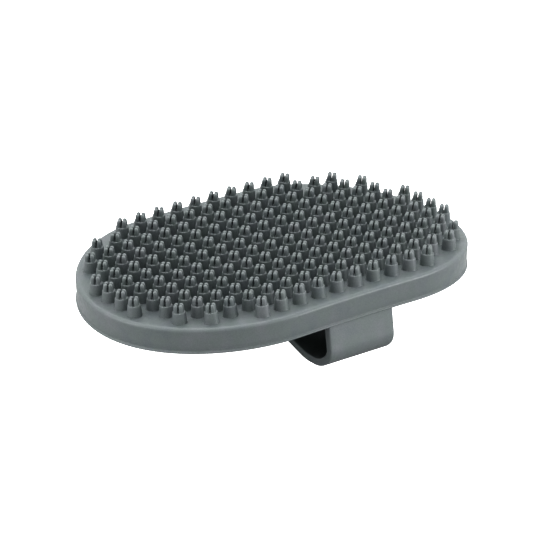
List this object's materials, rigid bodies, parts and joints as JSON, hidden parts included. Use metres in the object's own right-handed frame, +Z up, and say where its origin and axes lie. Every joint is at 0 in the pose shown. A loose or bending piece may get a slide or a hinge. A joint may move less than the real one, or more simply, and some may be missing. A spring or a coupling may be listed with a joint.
{
  "type": "curry comb",
  "caption": "Oval rubber curry comb: a saddle-curved pad with rows of four-fingered nubs on top, and a springy hand strap underneath.",
  "frame": {"origin": "under the middle of the comb, on the plane of the two flattened lines of the strap that it stands on", "axes": "+X along the pad, +Y across it along the strap, +Z up on the side of the nubs"},
  "size_m": [0.131, 0.0896, 0.0292],
  "materials": {
    "rubber": "matt blue-grey moulded rubber"
  },
  "bodies": {
    "comb": {"pad": "rubber", "strap_front_leg": "rubber", "strap_front_shoulder": "rubber", "strap_rear_shoulder": "rubber", "strap_rear_leg": "rubber", "nub_row_01": "rubber", "nub_row_02": "rubber", "nub_row_03": "rubber", "nub_row_04": "rubber", "nub_row_05": "rubber", "nub_row_06": "rubber", "nub_row_07": "rubber", "nub_row_08": "rubber", "nub_row_09": "rubber", "nub_row_10": "rubber", "nub_row_11": "rubber", "nub_row_12": "rubber"},
    "strap_middle": {"strap_crown": "rubber"}
  },
  "joints": [
    {"name": "strap_bow", "type": "slide", "parent": "comb", "child": "strap_middle", "axis": [0, 0, -1], "range_m": [-0.003, 0.018], "stiffness_N_per_m": 400, "deforming": ["strap_front_shoulder", "strap_rear_shoulder"]}
  ]
}
